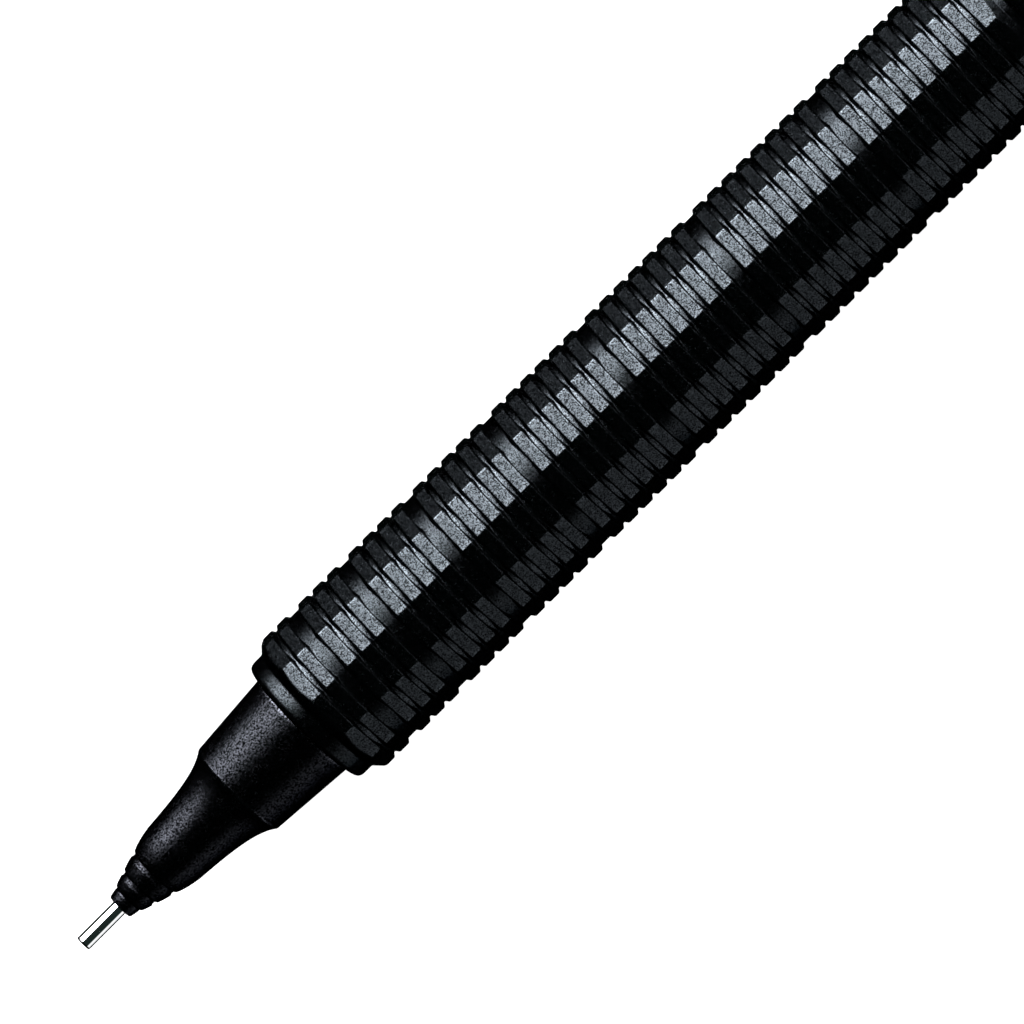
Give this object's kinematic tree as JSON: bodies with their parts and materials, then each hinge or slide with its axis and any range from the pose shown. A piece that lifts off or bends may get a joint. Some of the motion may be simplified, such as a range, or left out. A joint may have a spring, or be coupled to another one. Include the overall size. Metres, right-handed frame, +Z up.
{
  "type": "drafting mechanical pencil",
  "caption": "Black drafting pencil with a sliding guide pipe, stepped nose, ribbed twelve-sided grip, clip and push cap over an eraser.",
  "frame": {"origin": "centre of the bounding box, on the surface that the pencil rests on", "axes": "+X along the pencil from the guide pipe to the push cap, +Z up through the clip"},
  "size_m": [0.143, 0.0106, 0.0124],
  "materials": {
    "barrel_resin": "matt black resin filled with fine metal powder",
    "nose_metal": "satin black",
    "clip_metal": "satin black sheet steel",
    "pipe_steel": "polished",
    "clutch_steel": "turned",
    "spring_steel": "drawn wire",
    "brass": "turned",
    "rubber": "matt",
    "tube_plastic": "milky moulded plastic",
    "graphite": "graphite lead",
    "eraser": "white vinyl"
  },
  "bodies": {
    "pencil": {"nose_cone": "nose_metal", "front_bush": "brass", "barrel": "barrel_resin", "rear_bush": "nose_metal", "clip_ring": "clip_metal", "clutch_casing": "brass", "slider_spring": "spring_steel", "clutch_spring": "spring_steel", "main_spring": "spring_steel"},
    "sleeve": {"guide_pipe": "pipe_steel", "slider": "brass", "lead_retainer": "rubber"},
    "clutch": {"clutch_sleeve": "clutch_steel", "lead_in_use": "graphite"},
    "feed": {"tube_connector": "brass", "lead_tube": "tube_plastic", "spare_lead_1": "graphite", "spare_lead_2": "graphite", "spare_lead_3": "graphite", "eraser_holder": "clutch_steel"},
    "jaw_upper": {"chuck_jaw_upper": "brass", "clutch_ball_upper": "clutch_steel"},
    "jaw_lower": {"chuck_jaw_lower": "brass", "clutch_ball_lower": "clutch_steel"},
    "cap": {"knock_cap": "nose_metal"},
    "eraser": {"eraser": "eraser"},
    "clip": {"clip_arm": "clip_metal"}
  },
  "joints": [
    {"name": "sleeve_slide", "type": "slide", "parent": "pencil", "child": "sleeve", "axis": [1, 0, 0], "range_m": [0, 0.0031], "stiffness_N_per_m": 20, "springref_m": -0.005, "deforming": ["slider_spring"]},
    {"name": "knock_push", "type": "slide", "parent": "pencil", "child": "feed", "axis": [-1, 0, 0], "range_m": [0, 0.003], "stiffness_N_per_m": 500, "springref_m": -0.006, "deforming": ["main_spring"]},
    {"name": "clutch_slide", "type": "slide", "parent": "pencil", "child": "clutch", "axis": [-1, 0, 0], "range_m": [0, 0.0006], "deforming": ["clutch_spring"]},
    {"name": "jaw_upper_open", "type": "hinge", "parent": "feed", "child": "jaw_upper", "pos_m": [-0.0417, 0, 0.00526], "axis": [0, 1, 0], "range_deg": [0, 1]},
    {"name": "jaw_lower_open", "type": "hinge", "parent": "feed", "child": "jaw_lower", "pos_m": [-0.0417, 0, 0.00526], "axis": [0, -1, 0], "range_deg": [0, 1]},
    {"name": "cap_pull", "type": "slide", "parent": "feed", "child": "cap", "axis": [1, 0, 0], "range_m": [0, 0.02]},
    {"name": "eraser_pull", "type": "slide", "parent": "feed", "child": "eraser", "axis": [1, 0, 0], "range_m": [0, 0.007]},
    {"name": "clip_lift", "type": "hinge", "parent": "pencil", "child": "clip", "pos_m": [0.0569, 0, 0.01038], "axis": [0, 1, 0], "range_deg": [0, 3], "stiffness_Nm_per_rad": 3.4, "springref_deg": -0.57}
  ],
  "couplings": [
    {"joint": "clutch_slide", "follows": "knock_push", "ratio": 0.2},
    {"joint": "jaw_upper_open", "follows": "knock_push", "rad_per_m": 5.8},
    {"joint": "jaw_lower_open", "follows": "knock_push", "rad_per_m": 5.8},
    {"joint": "eraser_pull", "follows": "cap_pull", "ratio": 0.35}
  ]
}
